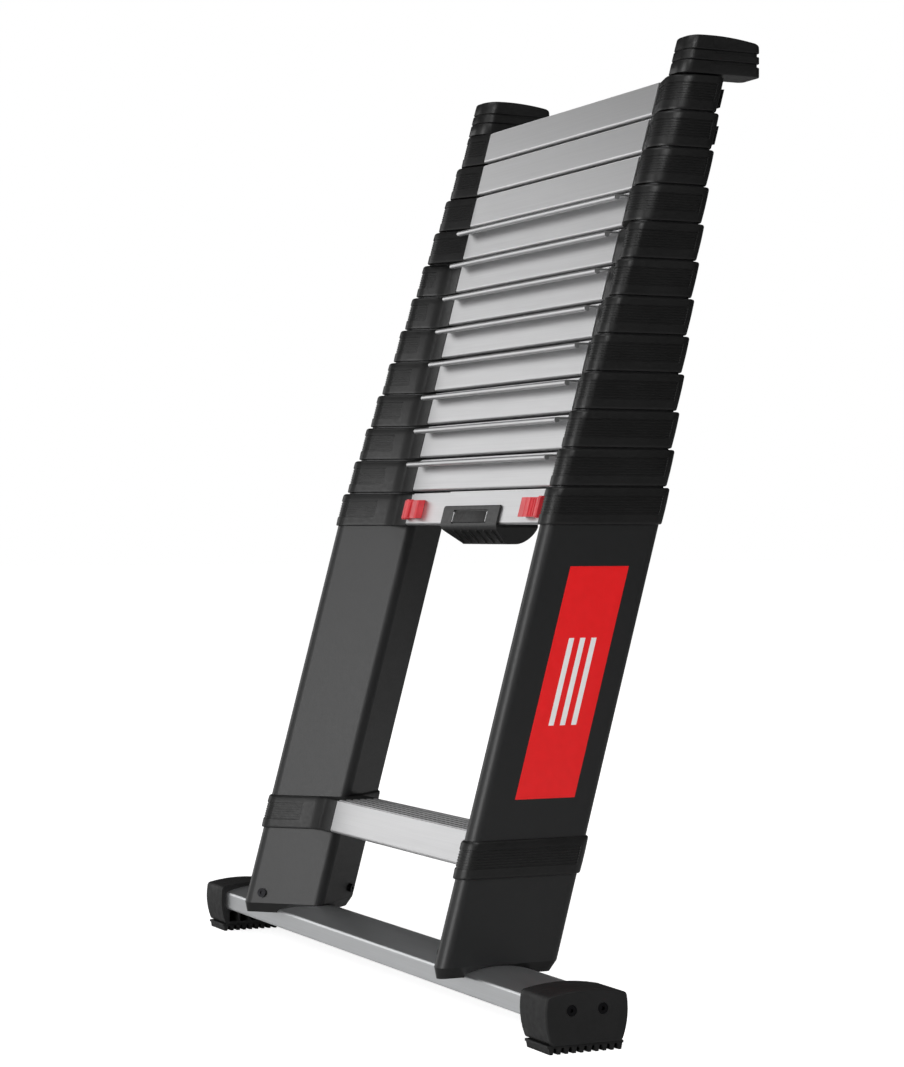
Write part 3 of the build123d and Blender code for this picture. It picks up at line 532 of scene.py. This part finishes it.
def cap_mesh():
    """Both caps: rows round the sides, then rows that close the crowned top and the flat bottom."""
    front = stile_discs(CAP_STEP, COLLAR_WALL)[0]
    outer_x = front[0] + front[2]
    inner_x = outer_x - CAP_WIDE
    low_v = front[1] - front[2]
    rear_v = CAP_BEHIND - CAP_REAR_R
    outline = Outline([
        front,
        (outer_x - CAP_REAR_R, rear_v, CAP_REAR_R),
        (inner_x + CAP_REAR_R, rear_v, CAP_REAR_R),
        (inner_x + CAP_INNER_R, low_v + CAP_INNER_R, CAP_INNER_R),
    ])
    spine_x = (outer_x + inner_x) / 2
    even = {outline.length * k / CAP_STATIONS for k in range(CAP_STATIONS)}
    spots = sorted(set(outline.lengths[:-1]) | even)
    sides = [(0.0, CAP_FOOT_ROUND, 0.0), (*CAP_FOOT_MIDDLE, 0.0), (CAP_FOOT_ROUND, 0.0, 0.0)]
    for low in CAP_GROOVES:
        high = low + CAP_GROOVE
        sides += [
            (low - CAP_LIP_RUN, 0.0, 1.0),
            (low - CAP_WALL_RUN, CAP_LIP, 1.0),
            (low, CAP_GROOVE_DEPTH, 1.0),
            (high, CAP_GROOVE_DEPTH, 0.0),
            (high + CAP_WALL_RUN, CAP_LIP, 0.0),
            (high + CAP_LIP_RUN, 0.0, 0.0),
        ]
    sides.append((CAP_TOP - CAP_ROUND - CAP_CROWN / 2, 0.0, 0.0))
    middle = axis_y(CAP_BOTTOM + CAP_TOP / 2)

    def point(x, v, rise, side):
        """Point that leans at the front, stands upright at the back, and is `rise` above the bottom."""
        z = CAP_BOTTOM + rise
        lean = (CAP_BEHIND - v) / (CAP_BEHIND - low_v)
        return (side * x * MM, (middle + v + (axis_y(z) - middle) * max(0.0, min(1.0, lean))) * MM, z * MM)

    def spine(v):
        """Point of the middle line that the top and the bottom close on, for a point of the edge."""
        return max(low_v + CAP_WIDE / 2, min(CAP_BEHIND - CAP_WIDE / 2, v))

    def crown(v):
        """Height of the top above the cap's bottom at v."""
        along = (v - low_v) / (CAP_BEHIND - low_v)
        if along < CAP_PEAK:
            fall = CAP_FRONT_FALL * ((CAP_PEAK - along) / CAP_PEAK) ** 2
        else:
            fall = CAP_REAR_FALL * ((along - CAP_PEAK) / (1 - CAP_PEAK)) ** 2
        return CAP_TOP + CAP_CROWN - fall

    bm = bmesh.new()
    for side in (1, -1):
        walk = [outline.at(spot) for spot in spots]
        rings = []
        for close in (1.0, 0.5):
            ring = []
            for x, v, nx, nv in walk:
                edge_x, edge_v = x - nx * CAP_FOOT_ROUND, v - nv * CAP_FOOT_ROUND
                under_v = edge_v + (spine(v) - edge_v) * close
                ring.append(point(edge_x + (spine_x - edge_x) * close, under_v, 0, side))
            rings.append(ring)
        for rise, inset, slotted in sides:
            ring = []
            for x, v, nx, nv in walk:
                slot = slotted * CAP_SLOT * max(0.0, min(1.0, (v - CAP_SLOT_FROM) / CAP_SLOT_RUN))
                ring.append(point(x - nx * inset, v - nv * inset, rise - slot, side))
            rings.append(ring)
        for k in range(1, CAP_ROUND_ROWS + 1):
            angle = pi / 2 * k / CAP_ROUND_ROWS
            drop = CAP_ROUND * (1 - sin(angle))
            inset = CAP_ROUND * (1 - cos(angle))
            rings.append([point(x - nx * inset, v - nv * inset, crown(v) - drop, side)
                          for x, v, nx, nv in walk])
        for close in (0.35, 0.7, 1.0):
            ring = []
            for x, v, nx, nv in walk:
                edge_x, edge_v = x - nx * CAP_ROUND, v - nv * CAP_ROUND
                top_v = edge_v + (spine(v) - edge_v) * close
                ring.append(point(edge_x + (spine_x - edge_x) * close, top_v, crown(top_v), side))
            rings.append(ring)
        loops = [[bm.verts.new(spot) for spot in ring] for ring in rings]
        for low, high in zip(loops, loops[1:]):
            skin(bm, low, high, side)
    bmesh.ops.remove_doubles(bm, verts=bm.verts, dist=0.00001)
    bmesh.ops.holes_fill(bm, edges=bm.edges)
    return mesh_of("cap_body", bm)


cap_body = finished("cap_body", cap_mesh(), body_of(1), "collar_black")
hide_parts("wall_caps")


# Slabs: the small added pieces

def slab(name, points, body, slot, material=None, round_off=0.0):
    """Closed prism between two rings of points of equal count."""
    bm = bmesh.new()
    low, high = ([bm.verts.new(point) for point in ring] for ring in points)
    skin(bm, low, high)
    bm.faces.new(low[::-1])
    bm.faces.new(high)
    if round_off:
        bmesh.ops.bevel(bm, geom=list(bm.edges), offset=round_off * MM, segments=2, affect="EDGES",
                        profile=0.5, clamp_overlap=True)
    return finished(name, mesh_of(name, bm), body, slot, material)


# Red stickers on the outer faces of the outermost tubes: a plain field with three plain bars

STICKER_FRONT = -23.0
STICKER_BACK = 32.0
STICKER_LOW = 180.0
STICKER_HIGH = 371.5
STICKER_LIFT = 0.12
STICKER_SUNK = 0.05  # how far a sticker reaches into the tube, so that no gap shows under it
STICKER_BARS = (-6.0, 4.5, 15.0)  # v of the bars' middles
BAR_HALF = 2.4
BAR_LOW = 240.0
BAR_HIGH = 312.0
BAR_LIFT = 0.17

sticker_red = Finish("sticker_red", (0.78, 0.008, 0.010), 0.35)
sticker_red.tint(sticker_red.noise(120.0, 3.0), (0.76, 0.0075, 0.009), (0.80, 0.0085, 0.011))
sticker_red.rough(sticker_red.noise(200.0, 3.0), 0.32, 0.40)
sticker_white = Finish("sticker_white", (0.80, 0.80, 0.80), 0.4)
sticker_white.tint(sticker_white.noise(120.0, 3.0), (0.78, 0.78, 0.78), (0.82, 0.82, 0.82))
sticker_white.rough(sticker_white.noise(200.0, 3.0), 0.36, 0.44)


def sticker(name, front, back, low, high, lift, material):
    """Thin patches on both outer faces, between v `front` and `back` and z `low` and `high`."""
    for side, hand in HANDS:
        rings = []
        for x in (STILE_OUT - STICKER_SUNK, STILE_OUT + lift):
            rings.append([place(x, front, low, side), place(x, back, low, side),
                          place(x, back, high, side), place(x, front, high, side)])
        slab(f"{name}_{hand}", rings, "base", "tube_black", material)


sticker("sticker_field", STICKER_FRONT, STICKER_BACK, STICKER_LOW, STICKER_HIGH, STICKER_LIFT,
        sticker_red.material)
for bar, bar_v in enumerate(STICKER_BARS):
    sticker(f"sticker_bar_{bar}", bar_v - BAR_HALF, bar_v + BAR_HALF, BAR_LOW, BAR_HIGH, BAR_LIFT,
            sticker_white.material)


# Grip: slanting ribs on its lower front, and a plain plate in its recess

GRIP_AHEAD = 2.2  # how far the grip's plate stands in front of the rung
BADGE_HALF = 34.0
BADGE_LOW = 408.9
BADGE_HIGH = 419.2
BADGE_BACK = -1.1
BADGE_FRONT = -0.2
BADGE_EDGE_AT = 34.9
BADGE_EDGE_HALF = 0.6
BADGE_EDGE_LOW = 409.4
BADGE_EDGE_HIGH = 418.7
BADGE_EDGE_FRONT = 0.1
BADGE_ROUND = 0.25
GRIP_RIBS = 6
GRIP_RIB_FIRST = -41.0
GRIP_RIB_PITCH = 16.0
GRIP_RIB_SLANT = 7.0
GRIP_RIB_ROUND = 0.3
GRIP_RIB_ROOT = (1.5, 1.0, 1.0)  # half width, depth and rise of a rib's root, inside the grip
GRIP_RIB_CREST = (1.0, -0.75, -0.9)
GRIP_LOW = 389.0
GRIP_KNEE = 401.5
GRIP_KNEE_BACK = 3.0  # how far the knee lies behind the plate
GRIP_PLATE_LOW = 404.0

badge_black = moulded_black("badge_black", 0.003, 0.5)
badge_silver = turned_steel("badge_silver", (0.55, 0.55, 0.56), 0.3)
LEAN_OUT = Vector((0, -cos(LEAN), sin(LEAN)))


def on_grip(x, z, out):
    """Point in front of the grip's plate, `out` millimetres off it."""
    base = Vector((x, axis_y(z) + RUNG_FRONT - GRIP_AHEAD, z)) + LEAN_OUT * out
    return tuple(c * MM for c in base)


def grip_plate(name, x0, x1, z0, z1, low, high, material):
    """A plate in the grip's recess, from `low` to `high` millimetres off the grip's plate."""
    rings = [[on_grip(x0, z0, out), on_grip(x1, z0, out), on_grip(x1, z1, out), on_grip(x0, z1, out)]
             for out in (low, high)]
    return slab(name, rings, "base", "grip_black", material, BADGE_ROUND)


grip_plate("badge_plate", -BADGE_HALF, BADGE_HALF, BADGE_LOW, BADGE_HIGH, BADGE_BACK, BADGE_FRONT,
           badge_black)
for side, hand in HANDS:
    edge_x = side * BADGE_EDGE_AT
    grip_plate(f"badge_edge_{hand}", edge_x - BADGE_EDGE_HALF, edge_x + BADGE_EDGE_HALF, BADGE_EDGE_LOW,
               BADGE_EDGE_HIGH, BADGE_BACK, BADGE_EDGE_FRONT, badge_silver)

knee_y = axis_y(GRIP_PLATE_LOW) + RUNG_FRONT - GRIP_AHEAD + GRIP_KNEE_BACK
low_y = axis_y(GRIP_LOW) + 1.0
for rib in range(GRIP_RIBS):
    x = GRIP_RIB_FIRST + GRIP_RIB_PITCH * rib
    rings = []
    for shift, y, z in ((GRIP_RIB_SLANT, knee_y, GRIP_KNEE), (0.0, low_y, GRIP_LOW + 0.9)):
        ring = []
        for (half, back, rise), order in ((GRIP_RIB_ROOT, (-1, 1)), (GRIP_RIB_CREST, (1, -1))):
            for sign in order:
                ring.append(((x + shift + sign * half) * MM, (y + back) * MM, (z + rise) * MM))
        rings.append(ring)
    slab(f"grip_rib_{rib}", rings, "base", "grip_black", None, GRIP_RIB_ROUND)


# Buttons: upright ribs in the scoops, the outer two taller

BUTTON_MIDDLE = BASE_COLLAR_TOP - COLLAR_H / 2
BUTTON_RIB_FIRST = 123.0
BUTTON_RIB_PITCH = 3.1
BUTTON_RIB_HALF = 0.5
BUTTON_RIB_RISE = 7.6
BUTTON_RIB_ROOT = 0.6
BUTTON_RIB_DEPTHS = (5.6, 4.4, 4.4, 5.6)
BUTTON_RIB_ROUND = 0.2

for side, hand in HANDS:
    for rib, depth in enumerate(BUTTON_RIB_DEPTHS):
        x = BUTTON_RIB_FIRST + BUTTON_RIB_PITCH * rib
        rings = []
        for z in (BUTTON_MIDDLE - BUTTON_RIB_RISE, BUTTON_MIDDLE + BUTTON_RIB_RISE):
            rings.append([place(x - BUTTON_RIB_HALF, RUNG_FRONT - BUTTON_RIB_ROOT, z, side),
                          place(x + BUTTON_RIB_HALF, RUNG_FRONT - BUTTON_RIB_ROOT, z, side),
                          place(x + BUTTON_RIB_HALF, RUNG_FRONT - depth, z, side),
                          place(x - BUTTON_RIB_HALF, RUNG_FRONT - depth, z, side)])
        slab(f"button_rib_{hand}_{rib}", rings, f"button_{hand}", "button_red", None, BUTTON_RIB_ROUND)


# Strip on the base rung that the rung above rests on

REST_HALF = 140
REST_FRONT = 19
REST_BACK = 22.5
REST_LOW = BASE_COLLAR_TOP - 2.0
REST_TOP = BASE_COLLAR_TOP + 1.0
REST_ROUND = 0.3

rest_corners = [
    (-REST_HALF, REST_FRONT),
    (REST_HALF, REST_FRONT),
    (REST_HALF, REST_BACK),
    (-REST_HALF, REST_BACK),
]
slab("rest_strip", [[place(x, v, z) for x, v in rest_corners] for z in (REST_LOW, REST_TOP)], "base",
     "catch_black", None, REST_ROUND)


# Softened edges of the CAD nodes that are shown as they are

EDGE_ROUND = 0.8
EDGE_ANGLE = radians(50)


def soften(node):
    """Small rounds on a CAD node's sharp edges."""
    bevel = nodes[node].modifiers.new("edge_rounds", "BEVEL")
    bevel.width = EDGE_ROUND * MM
    bevel.segments = 2
    bevel.limit_method = "ANGLE"
    bevel.angle_limit = EDGE_ANGLE


soften("carry_grip")
soften("stile_foot_plugs")


# Studio

CAMERA_AT = (2.2267, -1.0748, 0.3987)
CAMERA_AZIMUTH = 65.05
LENS = 91.61
SENSOR = 36.0
FLOOR_SIZE = 60
GLOW_NEAR = 0.8  # metres from the ladder where the floor's glow starts to rise, and its strength there
GLOW_FAR = 2.2
GLOW_LOW = 0.80
GLOW_HIGH = 1.0
ROOM_LIGHT = 0.045
SOFT_BOXES = (  # name, place, what it faces, size in metres, watts
    ("left_front", (-3.0, -1.9, 0.9), (0, 0, 0.4), 2.4, 27),
    ("right_front", (1.9, -3.1, 1.0), (0, 0, 0.4), 1.9, 74),
    ("front_fill", (-0.7, -3.6, 0.9), (0, 0, 0.4), 2.2, 16),
    ("right_high", (2.6, -0.5, 2.3), (0.2, 0, 0.4), 1.2, 34),
    ("overhead", (0.4, -0.8, 4.0), (0.1, -0.1, 0.0), 2.5, 45),
)


def camera():
    """Camera that looks level at the ladder from its front right."""
    data = bpy.data.cameras.new("camera")
    data.lens = LENS
    data.sensor_width = SENSOR
    made = bpy.data.objects.new("camera", data)
    made.location = CAMERA_AT
    made.rotation_euler = (radians(90), 0, radians(CAMERA_AZIMUTH))
    bpy.context.scene.collection.objects.link(made)
    bpy.context.scene.camera = made


def area_light(name, at, target, size, power):
    """A square soft box at a place, facing another."""
    data = bpy.data.lights.new(name, "AREA")
    data.size = size
    data.energy = power
    made = bpy.data.objects.new(name, data)
    made.location = at
    made.rotation_euler = (Vector(target) - Vector(at)).to_track_quat("-Z", "Y").to_euler()
    bpy.context.scene.collection.objects.link(made)


def studio_floor():
    """Pale floor that glows a little towards the horizon, for the camera only."""
    bpy.ops.mesh.primitive_plane_add(size=FLOOR_SIZE, location=(0, 0, 0))
    floor = bpy.context.object
    floor.name = "studio_floor"
    paint = Finish("studio_floor", (0.8, 0.8, 0.8), 0.95, Specular_IOR_Level=0.0)
    paint.tint(paint.noise(0.6, 2.0), (0.79, 0.79, 0.79), (0.81, 0.81, 0.81))
    paint.shader.inputs["Emission Color"].default_value = (1, 1, 1, 1)
    distance = paint.node("ShaderNodeVectorMath", operation="LENGTH")
    paint.link(paint.place, distance.inputs[0])
    glow = paint.node("ShaderNodeMath", operation="MULTIPLY")
    brightness = paint.spread(distance.outputs["Value"], GLOW_LOW, GLOW_HIGH, GLOW_NEAR, GLOW_FAR)
    paint.link(brightness, glow.inputs[0])
    paint.link(paint.node("ShaderNodeLightPath").outputs["Is Camera Ray"], glow.inputs[1])
    paint.link(glow.outputs["Value"], paint.shader.inputs["Emission Strength"])
    floor.data.materials.append(paint.material)


def backdrop():
    """White behind the ladder for the camera, and a dark room for the finishes to reflect."""
    world = bpy.data.worlds.new("studio")
    world.use_nodes = True
    tree = world.node_tree
    seen = tree.nodes["Background"]
    seen.inputs["Color"].default_value = (1, 1, 1, 1)
    seen.inputs["Strength"].default_value = 1.0
    room = tree.nodes.new("ShaderNodeBackground")
    room.inputs["Color"].default_value = (1, 1, 1, 1)
    room.inputs["Strength"].default_value = ROOM_LIGHT
    path = tree.nodes.new("ShaderNodeLightPath")
    mix = tree.nodes.new("ShaderNodeMixShader")
    tree.links.new(path.outputs["Is Camera Ray"], mix.inputs[0])
    tree.links.new(room.outputs[0], mix.inputs[1])
    tree.links.new(seen.outputs[0], mix.inputs[2])
    tree.links.new(mix.outputs[0], tree.nodes["World Output"].inputs["Surface"])
    bpy.context.scene.world = world


camera()
studio_floor()
backdrop()
for soft_box in SOFT_BOXES:
    area_light(*soft_box)
bpy.context.scene.view_settings.view_transform = "Standard"
